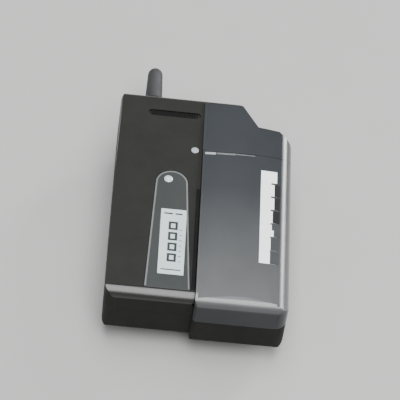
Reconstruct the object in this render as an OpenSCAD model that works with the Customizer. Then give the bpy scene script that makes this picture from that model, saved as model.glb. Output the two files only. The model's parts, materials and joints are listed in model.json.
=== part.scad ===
// Wireless bodypack transmitter lying on its back: X across, Y from the lower end to the antenna, Z up.
// Inside the modules, positions are measured as [u, v, w]:
// u from the left edge, v from the lower end, w from the back face towards the front.

/* [Body] */
// Width of the body
body_w = 70; // [68:0.5:72]
// Length of the body without the antenna
body_l = 107; // [106:0.5:108]
// Thickness of the body at the crown of the cover
body_t = 25; // [24.6:0.1:26]
// Wall thickness of the shells
wall = 1.8; // [1.6:0.1:2]
// Position across the width of the edge between the two halves
half_u = 34; // [33.8:0.1:34.2]
// How much shorter the left half is at the lower end
left_short = 3; // [2.5:0.1:3.2]
// Height of the left front face at the lower end
left_low_w = 22.2; // [22:0.1:22.6]
// Height of the left front face at the top end
left_top_w = 24.3; // [24.1:0.1:24.5]
// Height of the joint between the rear and front shells
split_w = 12.5; // [12.3:0.1:12.7]
// Radius of the crown of the cover
crown_r = 180; // [160:10:240]

/* [Cover] */
// Position of the cover's upper edge
cover_v = 78; // [77.8:0.1:78.2]
// Gap around the cover
cover_gap = 0.15; // [0.1:0.05:0.2]

/* [Cells] */
// Diameter of a cell
cell_d = 14.5; // [14:0.1:14.5]
// Length of a cell with its nub
cell_l = 50.5; // [50:0.1:50.5]
// Height of the cells' axes above the back face
cell_w = 13.85; // [13.8:0.05:13.95]

/* [Antenna] */
// Radius of the antenna at its base
antenna_r = 3.65; // [3.3:0.05:3.8]
// Length of the antenna beyond the top panel
antenna_l = 24; // [20:0.5:28]

/* [Input connector] */
// Outer radius of the connector barrel
barrel_r = 4.5; // [4.3:0.1:4.7]
// Length of the barrel's free thread, beyond its nut
thread_l = 4; // [3.5:0.1:5]

/* [Belt clip] */
// Radius of the clip wire
wire_r = 1; // [0.9:0.05:1.1]
// Clear gap between the back face and the wire
belt_gap = 5; // [4.8:0.1:5.5]
// Distance between the clip's legs
clip_span = 36; // [34:1:38]
// Running clearance of the clip's ends in their ears
pivot_gap = 0.05; // [0.03:0.01:0.08]

/* [Hidden] */
$fn = 64;

total_l = body_l + antenna_l;
clip_drop = belt_gap + 2 * wire_r;
// Overlap inside one solid, the gap between parts that touch, and the gaps of a close and of an easy fit
eps = 0.01;
touch = 0.02;
close = 0.05;
easy = 0.15;

// Outline of the body seen from the front, counter-clockwise
step_run = 1.2;
// Roundings: of the outline's corners, of the edges of the back, of the right edge, of the lower edges of
// the left and right front, of the upper edges, and of the long left edge
outline_r = [4, 5, 4];
back_r = 3;
right_edge_r = 5;
low_edge_r = [4, 4.5];
top_edge_r = 2.5;
left_edge_r = 2.2;
// How far the crown has dropped at the right edge's rounding
crown_drop = 0.95;
shoulder = [[body_w, 88], [65, 92.5], [56, 93.5], [48, body_l]];
outline = concat(
    [[0, left_short], [half_u - step_run, left_short], [half_u + step_run, 0], [body_w, 0]],
    shoulder,
    [[0, body_l]]
);

// Colours
case_grey = [0.17, 0.165, 0.16];
cover_grey = [0.27, 0.28, 0.3];
board_green = [0.05, 0.3, 0.18];
steel = [0.7, 0.7, 0.72];
gold = [0.85, 0.68, 0.3];
black = [0.07, 0.07, 0.07];

// Inlay
arch_low_v = 7;
arch_high_v = 60;
arch_low_u = [14.5, 32];
arch_high_u = [16.2, 29];
inlay_t = 0.8;
label_box = [[19.2, 14], [29.2, 46.5]];
label_t = 0.25;
lens_at = [21.2, 62];
lens_r = 1.7;
pipe_at = [31, 78.4];
pipe_r = 1.5;

// White mark on the cover
mark_u = [57.6, 64];
mark_v = 22;
mark_pitch = 7;
mark_gap = 0.9;
mark_count = 7;
mark_depth = 0.3;

// Ribbed recess near the top end of the left face
recess_u = [13, 31];
recess_v = [95.4, 98.6];
recess_depth = 0.7;

// The cover's guides: a tongue in a groove along the step, and a lug in a groove of the right-hand rail
groove_w = [18, 19.4];
tongue_w = [18.2, 19.2];
tongue_v = 5;
rail_u = [66.95, 67.85];
rail_v = [6, 76];
rail_top_w = 16.4;
rail_groove = [[67.4, 68.1], [14.35, 15.65]];
lug = [[67.6, 68.6], [14.6, 15.4]];
rib_t = 1.6;

// Rear label
rear_label_u = [20, 50];
rear_label_v = [25, 55];
rear_label_w = [close, 0.33];
rear_pocket = 0.35;

// Case screws
screw_at = [[6.5, 10], [6.5, 98], [38, 97.5], [62, 86]];
screw_r = 0.85;
head_r = 1.8;
head_w = 3;
head_h = 1.2;
screw_l = 14;
boss_r = 2.8;

// Top panel
panel_u = [6.7, 46.3];
panel_w = [4.2, 20.8];
flange_t = 1.2;
flange_lip = 1.2;
antenna_at = [13.4, 14];
antenna_core_r = 1.25;
ferrule_r = 4.1;
ferrule_neck_r = 3.15;
connector_at = [30, 12.5];
neck_r = barrel_r - 0.3;
bore_r = barrel_r - 0.9;
nut_r = 6.6;
nut_v = [body_l + 0.05, body_l + 1.65];
thread_v = [nut_v[1] + 0.1, nut_v[1] + 0.1 + thread_l];

// Power button on the shoulder: local x points out of the shoulder, local y along it
shoulder_mid = (shoulder[2] + shoulder[3]) / 2;
shoulder_turn = atan2(shoulder[3][0] - shoulder[2][0], -(shoulder[3][1] - shoulder[2][1])) + 180;
button_w = 8.5;
button_half = [3.75, 2.4];
button_gap = 0.2;

// Boards
pcb_w = 3;
pcb_t = 1;
pcb_top = pcb_w + pcb_t + touch;
board_w = 11;
board_top = board_w + pcb_t + touch;
deck_w = 17;
deck_t = 1.4;
pair_at = [42, 69];
trim_at = [51, 69];
display_box = [[56.6, 62.5], [64, 75]];
display_top = 18.2;
pair_r = 2;
trim_r = 2.4;
shield = [[5, 29], [62, 88], 7.2];
shield_t = 0.3;
// Chips as [u, v, width, length, top], and the row of round cans near the top end
chips = [[8, 20, 9, 9, 5.4], [20, 20, 7, 7, 5.2], [9, 38, 6, 10, 5.6], [20, 44, 8, 8, 5.4]];
cans = [[20, 95.5], [25, 95.5], [30, 95.5]];
header_at = [46, 60];
header_pitch = 2;
header_pin = 0.64;
header_count = 8;

// Battery bay
cell_r = cell_d / 2;
cell_v = 4.9;
cell_u = [44.2, 59.2];
nub_r = 2.7;
nub_l = 1.3;
tray_u = [35.8, 66.5];
tray_v = [2.4, 57.8];
floor_w = 5.2;
floor_t = 1.2;
tray_wall = 0.9;
tray_wall_w = 16.8;
deck_end_v = 77.6;

// Belt clip, all lengths from the body's corner
clip_mid_u = body_w / 2;
pivot_at = [88, -3];
wire_w = -belt_gap - wire_r;
leg_end_v = 34;
elbow_r = 2.4;
joint_l = 0.3;
drop_h = pivot_at[1] - wire_w;
drop_turn = 28;
drop_straight = 1;
drop_r = (drop_h - drop_straight * sin(drop_turn)) / (2 - 2 * cos(drop_turn));
drop_run = 2 * drop_r * sin(drop_turn) + drop_straight * cos(drop_turn);
ear_t = 1.5;
ear_u = clip_span / 2 - 3;
ear_r = 2.4;
bracket_t = 1;
bracket_screw_r = 1;
function bracket_screw_at(side) = [clip_mid_u + side * 9, pivot_at[0] - 6];

module place() translate([-body_w / 2, -total_l / 2, clip_drop]) children();

// Extrudes a [u, w] section along the length, and a [v, w] section across the width
module along_v(v0, v1) translate([0, v1, 0]) rotate([90, 0, 0]) linear_extrude(v1 - v0) children();
module along_u(u0, u1) translate([u0, 0, 0]) rotate([90, 0, 90]) linear_extrude(u1 - u0) children();
module along_w(w0, w1) translate([0, 0, w0]) linear_extrude(w1 - w0) children();

module box(u, v, w) translate([u[0], v[0], w[0]]) cube([u[1] - u[0], v[1] - v[0], w[1] - w[0]]);
module rod_w(at, r, w) translate([at[0], at[1], w[0]]) cylinder(h = w[1] - w[0], r = r);
module rod_v(at, r, v) translate([at[0], v[1], at[1]]) rotate([90, 0, 0]) cylinder(h = v[1] - v[0], r = r);
module rod_u(at, r, u) translate([u[0], at[0], at[1]]) rotate([0, 90, 0]) cylinder(h = u[1] - u[0], r = r);

// Removes a square corner at p outside a round of radius r; side gives the way the corner points
module corner_cut(p, r, side)
    translate([p[0] - side[0] * r, p[1] - side[1] * r])
        difference() {
            translate([side[0] > 0 ? 0 : -r - 1, side[1] > 0 ? 0 : -r - 1]) square(r + 1);
            circle(r);
        }

function unit(a) = a / norm(a);
function inward(a, b) = let (d = unit(b - a)) [-d[1], d[0]];
function inset_corner(a, p, b, d) =
    let (n1 = inward(a, p), n2 = inward(p, b)) p + d * (n1 + n2) / (1 + n1 * n2);
function inset_outline(pts, d) =
    let (n = len(pts))
    [for (i = [0 : n - 1]) inset_corner(pts[(i + n - 1) % n], pts[i], pts[(i + 1) % n], d)];
function round_in(r, d) = max(r - d, 0.4);
function left_face_w(v) = left_top_w - (body_l - v) * (left_top_w - left_low_w) / (body_l - left_short);

module plan(d)
    difference() {
        polygon(inset_outline(outline, d));
        corner_cut([d, left_short + d], round_in(outline_r[0], d), [-1, -1]);
        corner_cut([body_w - d, d], round_in(outline_r[1], d), [1, -1]);
        corner_cut([d, body_l - d], round_in(outline_r[2], d), [-1, 1]);
    }

module cross_section(d)
    difference() {
        union() {
            translate([d, d]) square([half_u - d + 1, body_t - 2 * d]);
            intersection() {
                translate([half_u, d]) square([body_w - half_u - d, body_t - 2 * d]);
                translate([(half_u + body_w) / 2 - 1, body_t - crown_r]) circle(crown_r - d, $fn = 360);
            }
        }
        corner_cut([d, d], round_in(back_r, d), [-1, -1]);
        corner_cut([body_w - d, d], round_in(back_r, d), [1, -1]);
        corner_cut([body_w - d, body_t - crown_drop - d], round_in(right_edge_r, d), [1, 1]);
    }

module left_side(d)
    difference() {
        polygon([
            [left_short + d, d], [body_l - d, d],
            [body_l - d, left_face_w(body_l) - d], [left_short + d, left_face_w(left_short) - d]
        ]);
        corner_cut([left_short + d, d], round_in(back_r, d), [-1, -1]);
        corner_cut([left_short + d, left_low_w - d], round_in(low_edge_r[0], d), [-1, 1]);
        corner_cut([body_l - d, d], round_in(top_edge_r, d), [1, -1]);
        corner_cut([body_l - d, left_top_w - d], round_in(top_edge_r, d), [1, 1]);
    }

module right_side(d)
    difference() {
        translate([d, d]) square([body_l - 2 * d, body_t - 2 * d]);
        corner_cut([d, d], round_in(back_r, d), [-1, -1]);
        corner_cut([d, body_t - d], round_in(low_edge_r[1], d), [-1, 1]);
        corner_cut([body_l - d, d], round_in(top_edge_r, d), [1, -1]);
        corner_cut([body_l - d, left_top_w - d], round_in(top_edge_r, d), [1, 1]);
    }

// The body as a solid, or its cavity when d is the wall thickness
module body_solid(d)
    difference() {
        intersection() {
            along_w(0, body_t + 1) plan(d);
            along_v(-1, body_l + 1) cross_section(d);
            union() {
                along_u(-1, half_u) left_side(d);
                along_u(half_u, body_w + 1) right_side(d);
            }
        }
        left_edge_round(d);
    }

// The long left edge of the sloping face
module left_edge_round(d)
    translate([0, body_l, left_top_w - d])
        rotate([-atan2(left_top_w - left_low_w, body_l - left_short), 0, 0])
            along_v(-body_l - 2, 2) corner_cut([d, 0], round_in(left_edge_r, d), [-1, 1]);

module shell()
    difference() {
        body_solid(0);
        body_solid(wall);
    }

// A layer that follows the sloping left face, from depth d0 to depth d1 below it
module left_layer(d0, d1)
    along_u(0, half_u)
        polygon([
            [0, left_face_w(0) - d1], [body_l, left_face_w(body_l) - d1],
            [body_l, left_face_w(body_l) - d0], [0, left_face_w(0) - d0]
        ]);

module arch(grow)
    along_w(split_w, body_t + 2) {
        polygon([
            [arch_low_u[0] - grow, arch_low_v - grow], [arch_low_u[1] + grow, arch_low_v - grow],
            [arch_high_u[1] + grow, arch_high_v], [arch_high_u[0] - grow, arch_high_v]
        ]);
        translate([(arch_high_u[0] + arch_high_u[1]) / 2, arch_high_v])
            circle((arch_high_u[1] - arch_high_u[0]) / 2 + grow);
    }

module label_area(grow)
    box([label_box[0][0] - grow, label_box[1][0] + grow], [label_box[0][1] - grow, label_box[1][1] + grow],
        [split_w, body_t + 1]);

module at_shoulder()
    translate([shoulder_mid[0], shoulder_mid[1], 0]) rotate([0, 0, shoulder_turn]) children();

// A flat pill along local x, centred at the power button
module pill(x0, x1, half, grow)
    translate([x0, 0, button_w]) rotate([90, 0, 90]) linear_extrude(x1 - x0) {
        square([2 * (half[0] - half[1]), 2 * (half[1] + grow)], center = true);
        for (side = [-1, 1]) translate([side * (half[0] - half[1]), 0]) circle(half[1] + grow);
    }

module panel_window(grow)
    box([panel_u[0] - grow, panel_u[1] + grow], [body_l - wall - 1, body_l + 1],
        [panel_w[0] - grow, panel_w[1] + grow]);

module rear_case() color(case_grey) place()
    difference() {
        union() {
            intersection() {
                shell();
                box([-1, body_w + 1], [-1, body_l + 1], [-1, split_w - 0.1]);
            }
            for (p = screw_at) rod_w(p, boss_r, [wall - eps, split_w - 0.1]);
            box(rail_u, rail_v, [wall - eps, rail_top_w]);
        }
        for (p = screw_at) {
            rod_w(p, head_r + 0.3, [-1, head_w + head_h + 0.05]);
            rod_w(p, screw_r + 0.2, [0, body_t]);
        }
        panel_window(easy);
        at_shoulder() pill(-4, 3, button_half, button_gap);
        box(rail_groove[0], rail_v + [-1, 1], rail_groove[1]);
        box(rear_label_u + [-0.2, 0.2], rear_label_v + [-0.2, 0.2], [-1, rear_pocket]);
        for (side = [-1, 1]) rod_w(bracket_screw_at(side), bracket_screw_r + close, [-1, wall + 1]);
    }

module front_case() color(case_grey) place()
    difference() {
        union() {
            difference() {
                intersection() {
                    shell();
                    box([-1, body_w + 1], [-1, body_l + 1], [split_w, body_t + 1]);
                }
                box([half_u, body_w + 1], [-1, cover_v], [split_w - 1, body_t + 1]);
            }
            intersection() {
                body_solid(0.4);
                union() {
                    box([half_u - wall, half_u], [4, cover_v + rib_t], [split_w, body_t]);
                    box([half_u - wall, body_w], [cover_v, cover_v + rib_t], [split_w, body_t]);
                    for (p = screw_at) rod_w(p, boss_r - 0.2, [split_w, body_t]);
                }
            }
        }
        for (p = screw_at) rod_w(p, screw_r + close, [split_w - 1, head_w + head_h + screw_l + 1]);
        intersection() {
            left_layer(-1, inlay_t + close);
            arch(0.1);
        }
        rod_w(lens_at, lens_r + 0.1, [split_w, body_t + 1]);
        rod_w(pipe_at, pipe_r + 0.1, [split_w, body_t + 1]);
        panel_window(easy);
        box([half_u - 0.7, half_u + 1], [-1, cover_v], groove_w);
        intersection() {
            left_layer(-1, recess_depth);
            along_w(split_w, body_t + 1) {
                translate([recess_u[0], recess_v[0]])
                    square([recess_u[1] - recess_u[0], recess_v[1] - recess_v[0]]);
                for (u = recess_u) translate([u, (recess_v[0] + recess_v[1]) / 2])
                    circle((recess_v[1] - recess_v[0]) / 2);
            }
        }
    }

module battery_cover() color(cover_grey) place()
    difference() {
        union() {
            intersection() {
                shell();
                box([half_u + cover_gap, body_w + 1], [-1, cover_v - cover_gap], [split_w + 0.1, body_t + 1]);
            }
            intersection() {
                body_solid(0.4);
                box([half_u + cover_gap, half_u + 1.35], [2, cover_v - cover_gap], [17, body_t]);
            }
            box([half_u - 0.5, half_u + 1], [tongue_v, cover_v - cover_gap], tongue_w);
            box(lug[0], [tongue_v, cover_v - cover_gap], lug[1]);
        }
        mark_bars(close, mark_depth + close);
    }

// The white mark: a column of equal bars let into the cover
module mark_bars(grow, depth)
    intersection() {
        difference() {
            body_solid(-0.5);
            body_solid(depth);
        }
        for (i = [0 : mark_count - 1]) {
            low_v = mark_v + mark_pitch * i;
            box([mark_u[0] - grow, mark_u[1] + grow], [low_v - grow, low_v + mark_pitch - mark_gap + grow],
                [split_w, body_t + 1]);
        }
    }

module cover_mark() color("white") place()
    intersection() {
        mark_bars(0, mark_depth);
        body_solid(0);
    }

module top_panel() color(case_grey) place()
    difference() {
        union() {
            box([panel_u[0], panel_u[1]], [body_l - wall - 0.3, body_l], [panel_w[0], panel_w[1]]);
            box([panel_u[0] - flange_lip, panel_u[1] + flange_lip - 1],
                [body_l - wall - 0.15 - flange_t, body_l - wall - 0.15],
                [panel_w[0] - 0.6, panel_w[1] + 0.4]);
        }
        rod_v(antenna_at, ferrule_neck_r + close, [body_l - 6, body_l + 1]);
        rod_v(connector_at, neck_r + close, [body_l - 6, body_l + 1]);
    }

module case_screws() color(steel) place()
    for (p = screw_at)
        difference() {
            union() {
                rod_w(p, head_r, [head_w, head_w + head_h]);
                rod_w(p, screw_r, [head_w, head_w + head_h + screw_l]);
            }
            for (turn = [0, 90])
                translate([p[0], p[1], head_w])
                    rotate([0, 0, turn]) cube([2.4, 0.5, 1.2], center = true);
        }

module inlay_plate() color([0.1, 0.1, 0.11]) place()
    difference() {
        intersection() {
            left_layer(0, inlay_t);
            arch(0);
        }
        rod_w(lens_at, lens_r + 0.1, [split_w, body_t + 1]);
        intersection() {
            left_layer(-1, label_t + close);
            label_area(0.1);
        }
    }

module inlay_label() color([0.85, 0.95, 0.95]) place()
    intersection() {
        left_layer(0, label_t);
        label_area(0);
    }

module indicator_lens() color([0.95, 0.95, 0.9]) place()
    intersection() {
        union() {
            rod_w(lens_at, lens_r, [split_w + 7.6, left_face_w(lens_at[1]) + 0.1]);
            translate([lens_at[0], lens_at[1], left_face_w(lens_at[1]) - 2.6]) sphere(r = 3.1);
        }
        rod_w(lens_at, lens_r, [split_w + 7, body_t + 1]);
    }

module light_pipe() color([0.9, 0.95, 0.9]) place()
    rod_w(pipe_at, pipe_r, [6, left_face_w(pipe_at[1]) + 0.25]);

module antenna_sleeve() color(black) place()
    translate([antenna_at[0], body_l + 1.5, antenna_at[1]])
        rotate([-90, 0, 0])
            rotate_extrude()
                polygon([
                    [antenna_core_r + 0.1, 0], [antenna_r - 0.2, 0], [antenna_r, 0.2], [antenna_r, 1.4],
                    [antenna_r - 0.15, 2], [antenna_r - 0.4, antenna_l - 4],
                    [antenna_r - 0.75, antenna_l - 2.4], [antenna_r - 1.5, antenna_l - 1.7],
                    [0, antenna_l - 1.5], [0, antenna_l - 4.2], [antenna_core_r + 0.1, antenna_l - 4.2]
                ]);

module antenna_ferrule() color(steel) place()
    difference() {
        union() {
            rod_v(antenna_at, ferrule_r, [body_l + close, body_l + 1.45]);
            rod_v(antenna_at, ferrule_neck_r, [body_l - 4.5, body_l + 0.5]);
        }
        rod_v(antenna_at, antenna_core_r + close, [body_l - 6, body_l + 3]);
    }

module antenna_core() color(gold) place() 
    rod_v(antenna_at, antenna_core_r, [99, body_l + antenna_l - 3]);

module antenna_contact() color(gold) place() {
    spring_u = [antenna_at[0] - 1.5, antenna_at[0] + 1.5];
    box(spring_u, [100.2, 100.6], [pcb_top, antenna_at[1] - antenna_core_r - touch]);
    box(spring_u, [98.2, 100.3], [pcb_top, pcb_w + pcb_t + 0.4]);
}

module connector_barrel() color(steel) place()
    difference() {
        union() {
            rod_v(connector_at, neck_r, [99.5, thread_v[0] + 0.2]);
            rod_v(connector_at, barrel_r, thread_v);
            rod_v(connector_at, 5.8, [body_l - 5, body_l - wall - flange_t - 0.2]);
        }
        rod_v(connector_at, bore_r, [98, thread_v[1] + 1]);
    }

module connector_nut() color(steel) place()
    difference() {
        translate([connector_at[0], nut_v[1], connector_at[1]])
            rotate([90, 0, 0]) cylinder(h = nut_v[1] - nut_v[0], r = nut_r, $fn = 6);
        rod_v(connector_at, neck_r + close, [body_l - 1, body_l + 3]);
    }

pin_ring_r = 1.75;
module pin_holes(r, v)
    for (a = [45 : 90 : 315])
        rod_v([connector_at[0] + pin_ring_r * cos(a), connector_at[1] + pin_ring_r * sin(a)], r, v);

module connector_insulator() color(black) place()
    difference() {
        rod_v(connector_at, bore_r - close, [100, thread_v[1] - 2]);
        pin_holes(0.5, [98, body_l + 8]);
        rod_v([connector_at[0], connector_at[1] + 3.3], 0.5, [body_l, body_l + 8]);
    }

module connector_pins() color(gold) place() pin_holes(0.45, [98.2, thread_v[1] - 0.6]);

module power_button() color([0.3, 0.3, 0.31]) place()
    at_shoulder() {
        pill(-3, 1, button_half, 0);
        pill(-3, -2.1, button_half + [0.6, 0.6], 0);
    }

module power_switch() color(black) place()
    at_shoulder() {
        box([-9, -5.2], [-3, 3], [pcb_top, 10.4]);
        box([-5.3, -4.3], [-1.2, 1.2], [7.4, 9.6]);
    }

module pair_button() color([0.75, 0.2, 0.15]) place() {
    rod_w(pair_at, pair_r, [16, 19.4]);
    rod_w(pair_at, pair_r + 0.7, [16, 16.8]);
}

module pair_switch() color(black) place() {
    box([pair_at[0] - 3, pair_at[0] + 3], [pair_at[1] - 3, pair_at[1] + 3], [board_top, 14.4]);
    rod_w(pair_at, 1.5, [14.3, 15.3]);
}

module trim_rotor() color([0.85, 0.85, 0.8]) place()
    difference() {
        union() {
            rod_w(trim_at, trim_r, [15.4, 18.8]);
            rod_w(trim_at, 0.9, [13.2, 15.5]);
        }
        box([trim_at[0] - 3, trim_at[0] + 3], [trim_at[1] - 0.4, trim_at[1] + 0.4], [18, 20]);
    }

module trim_body() color([0.1, 0.2, 0.5]) place()
    difference() {
        box([trim_at[0] - 3.5, trim_at[0] + 3.5], [trim_at[1] - 3.5, trim_at[1] + 3.5], [board_top, 15.2]);
        rod_w(trim_at, 0.95, [13, 16]);
    }

module id_display() color([0.4, 0.05, 0.05]) place()
    box([display_box[0][0], display_box[1][0]], [display_box[0][1], display_box[1][1]],
        [board_top, display_top]);

module main_pcb() color(board_green) place()
    difference() {
        along_w(pcb_w, pcb_w + pcb_t)
            polygon([
                [2.8, 6.4], [66.4, 6.4], [66.4, 86], [63.4, 89.6], [53.6, 90.6], [46.4, 102.2], [2.8, 102.2]
            ]);
        for (p = screw_at) rod_w(p, boss_r + 0.3, [0, 10]);
    }

module control_board() color(board_green) place()
    box([37.2, 65.2], [59, 76], [board_w, board_w + pcb_t]);

module board_header() color(gold) place()
    for (i = [0 : header_count - 1]) {
        pin_u = header_at[0] + header_pitch * i;
        box([pin_u, pin_u + header_pin], [header_at[1], header_at[1] + header_pin],
            [pcb_top, board_w - touch]);
    }

module rf_shield() color(steel) place()
    difference() {
        box(shield[0], shield[1], [pcb_top, shield[2]]);
        box(shield[0] + [shield_t, -shield_t], shield[1] + [shield_t, -shield_t],
            [pcb_w, shield[2] - shield_t]);
    }

module ic_chips() color(black) place() {
    for (c = chips) box([c[0], c[0] + c[2]], [c[1], c[1] + c[3]], [pcb_top, c[4]]);
    for (p = cans) rod_w(p, 2, [pcb_top, 8]);
}

module status_leds() color([0.95, 0.95, 0.85]) place()
    for (led = [[lens_at, shield[2] + touch, 8.2], [pipe_at, pcb_top, 5.4]])
        box([led[0][0] - 1, led[0][0] + 1], [led[0][1] - 0.9, led[0][1] + 0.9], [led[1], led[2]]);

module battery_tray() color([0.12, 0.12, 0.12]) place()
    difference() {
        union() {
            box(tray_u, tray_v, [floor_w, floor_w + floor_t]);
            box(tray_u, tray_v, [floor_w, 10]);
            box([tray_u[0], tray_u[0] + tray_wall], tray_v, [floor_w, tray_wall_w]);
            for (v = [tray_v[0], tray_v[1] - tray_wall])
                box(tray_u, [v, v + tray_wall], [floor_w, tray_wall_w]);
            difference() {
                box(tray_u, [tray_v[1] - eps, deck_end_v], [floor_w, deck_w + deck_t]);
                box([tray_u[0] + tray_wall, tray_u[1] - tray_wall], [tray_v[1], deck_end_v - tray_wall],
                    [0, deck_w]);
            }
        }
        box([tray_u[0] + tray_wall, tray_u[1] + 1], [tray_v[0] + tray_wall, cell_v + 0.2],
            [floor_w + floor_t, body_t]);
        box([tray_u[0] + tray_wall, tray_u[1] + 1], [cell_v + cell_l - 1.6, tray_v[1] - tray_wall],
            [floor_w + floor_t, body_t]);
        for (u = cell_u) rod_v([u, cell_w], cell_r + 0.15, [tray_v[0] + tray_wall, tray_v[1] - tray_wall]);
        rod_w(pair_at, pair_r + 0.3, [deck_w - 1, body_t]);
        rod_w(trim_at, trim_r + 0.3, [deck_w - 1, body_t]);
        box([display_box[0][0] - 0.2, display_box[1][0] + 0.2],
            [display_box[0][1] - 0.2, display_box[1][1] + 0.2],
            [deck_w - 1, body_t]);
    }

// A cell with its nub towards the top (way = 1) or the lower end (way = -1)
module cell(u, way) {
    can_v = way > 0 ? cell_v : cell_v + nub_l;
    nub_v = way > 0 ? cell_v + cell_l - nub_l - 0.5 : cell_v;
    rod_v([u, cell_w], cell_r, [can_v, can_v + cell_l - nub_l]);
    rod_v([u, cell_w], nub_r, [nub_v, nub_v + nub_l + 0.5]);
}
module cell_left() color([0.2, 0.2, 0.22]) place() cell(cell_u[0], 1);
module cell_right() color([0.2, 0.2, 0.22]) place() cell(cell_u[1], -1);

low_wall_v = tray_v[0] + tray_wall;
high_wall_v = tray_v[1] - tray_wall;
plate_t = 0.3;
plate_u = 5;
plate_w = [8, 16];

// A bowed leaf from the wall at v towards the cell, way = 1 upwards or -1 downwards
module leaf(u, v, reach)
    along_u(u - 2.5, u + 2.5)
        polygon([[v, cell_w - 4.5], [v + reach, cell_w - 0.6], [v + reach, cell_w + 0.6], [v, cell_w + 4.5]]);

module contact_link() color(gold) place() {
    box([cell_u[0] - plate_u, cell_u[1] + plate_u], [low_wall_v + touch, low_wall_v + plate_t],
        plate_w);
    leaf(cell_u[0], low_wall_v + plate_t - eps, cell_v - low_wall_v - plate_t - 0.05);
    leaf(cell_u[1], low_wall_v + plate_t - eps, cell_v - low_wall_v - plate_t - 0.05);
}
module contact_positive() color(gold) place() {
    box([cell_u[0] - plate_u, cell_u[0] + plate_u], [high_wall_v - plate_t, high_wall_v - touch],
        plate_w);
    leaf(cell_u[0], high_wall_v - plate_t + eps, cell_v + cell_l - high_wall_v + plate_t + 0.05);
}
module contact_negative() color(gold) place() {
    box([cell_u[1] - plate_u, cell_u[1] + plate_u], [high_wall_v - plate_t, high_wall_v - touch],
        plate_w);
    leaf(cell_u[1], high_wall_v - plate_t + eps, cell_v + cell_l - high_wall_v + plate_t + 0.05);
}

// One bend of the clip wire about the local z axis. It is a hair thinner than the straights and runs
// a little way into them, so that each joint is a clean one.
module wire_bend(centre, r, from, sweep) {
    into = joint_l / r * 180 / PI;
    translate([centre[0], centre[1], 0])
        rotate([0, 0, from - into])
            rotate_extrude(angle = sweep + 2 * into) translate([r, 0]) circle(wire_r - 0.03);
}

// Half of the clip wire: its end in the ear, the elbow, the drop to the lower plane and the leg
module clip_half(side) {
    leg_u = clip_mid_u + side * clip_span / 2;
    end_u = side * (ear_u - ear_t - 0.8);
    elbow_u = side * (clip_span / 2 - elbow_r);
    elbow_v = pivot_at[0] - elbow_r;
    drop_v = elbow_v - drop_straight;
    rod_u(pivot_at, wire_r, [clip_mid_u + min(end_u, elbow_u), clip_mid_u + max(end_u, elbow_u)]);
    translate([clip_mid_u + elbow_u, elbow_v, pivot_at[1]])
        wire_bend([0, 0], elbow_r, side > 0 ? 0 : 90, 90);
    rod_v([leg_u, pivot_at[1]], wire_r, [drop_v, elbow_v]);
    translate([leg_u, drop_v, pivot_at[1]]) rotate([90, 0, -90]) {
        wire_bend([0, -drop_r], drop_r, 90 - drop_turn, drop_turn);
        translate([drop_r * sin(drop_turn), -drop_r * (1 - cos(drop_turn)), 0])
            rotate([0, 90, -drop_turn]) cylinder(h = drop_straight, r = wire_r);
        wire_bend([drop_run, drop_r - drop_h], drop_r, -90 - drop_turn, drop_turn);
    }
    rod_v([leg_u, wire_w], wire_r, [leg_end_v, drop_v - drop_run]);
}
module belt_clip() color(steel) place() {
    for (side = [-1, 1]) clip_half(side);
    translate([clip_mid_u, leg_end_v, wire_w]) wire_bend([0, 0], clip_span / 2, 180, 180);
}

module clip_bracket() color(steel) place()
    difference() {
        union() {
            box([clip_mid_u - ear_u, clip_mid_u + ear_u], [pivot_at[0] - 11, pivot_at[0] + 4],
                [-bracket_t - touch, -touch]);
            for (side = [-1, 1])
                translate([clip_mid_u + side * (ear_u - ear_t / 2), 0, 0]) {
                    box([-ear_t / 2, ear_t / 2], [pivot_at[0] - ear_r, pivot_at[0] + ear_r],
                        [pivot_at[1], -touch]);
                    rod_u(pivot_at, ear_r, [-ear_t / 2, ear_t / 2]);
                }
        }
        rod_u(pivot_at, wire_r + pivot_gap, [0, body_w]);
        for (side = [-1, 1]) rod_w(bracket_screw_at(side), bracket_screw_r + close, [-2, 1]);
    }

module bracket_screws() color(steel) place()
    for (side = [-1, 1]) {
        rod_w(bracket_screw_at(side), bracket_screw_r, [-2, wall + 0.9]);
        rod_w(bracket_screw_at(side), bracket_screw_r + 0.9, [-2.1, -bracket_t - close]);
    }

module rear_label() color([0.75, 0.76, 0.76]) place() box(rear_label_u, rear_label_v, rear_label_w);

rear_case();
front_case();
battery_cover();
top_panel();
case_screws();
inlay_plate();
inlay_label();
indicator_lens();
light_pipe();
cover_mark();
antenna_sleeve();
antenna_ferrule();
antenna_core();
antenna_contact();
connector_barrel();
connector_nut();
connector_insulator();
connector_pins();
power_button();
power_switch();
pair_button();
pair_switch();
trim_rotor();
trim_body();
id_display();
main_pcb();
control_board();
board_header();
rf_shield();
ic_chips();
status_leds();
battery_tray();
cell_left();
cell_right();
contact_positive();
contact_negative();
contact_link();
belt_clip();
clip_bracket();
bracket_screws();
rear_label();
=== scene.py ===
"""Looks of the wireless bodypack transmitter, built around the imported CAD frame.

Lengths inside the functions are in millimetres from the body's lower left back corner, as [u, v, w]:
u across, v towards the antenna, w towards the front face. at() turns them into the frame's metres.
"""

import json
import math

import bmesh
import bpy
from mathutils import Matrix, Vector


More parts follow.
